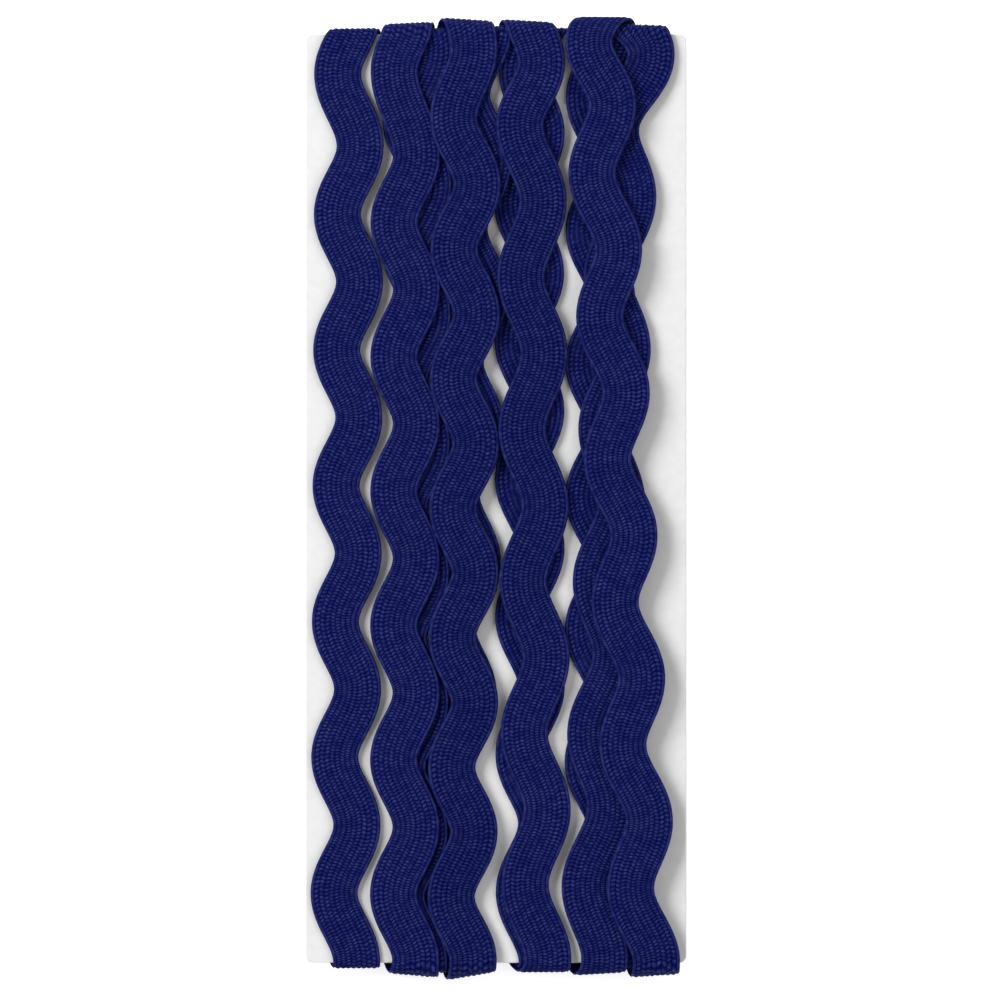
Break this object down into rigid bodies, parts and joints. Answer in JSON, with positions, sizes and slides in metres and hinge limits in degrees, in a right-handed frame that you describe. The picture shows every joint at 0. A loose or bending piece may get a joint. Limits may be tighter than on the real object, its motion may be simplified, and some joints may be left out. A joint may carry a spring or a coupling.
{
  "type": "roll of ric rac on a card",
  "caption": "Wavy braided trim wound lengthwise in overlapping turns round a plain flat white card.",
  "frame": {"origin": "under the centre of the roll's bounding box, on the surface it lies on", "axes": "+X across the card to the right as its front is seen, +Y up the card's length, +Z out of its front"},
  "size_m": [0.0486, 0.1224, 0.0074],
  "materials": {
    "tape_blue": "woven, softly glossy",
    "card_white": "smooth, matt"
  },
  "bodies": {
    "root": {"winding": "tape_blue", "card": "card_white"}
  },
  "joints": []
}
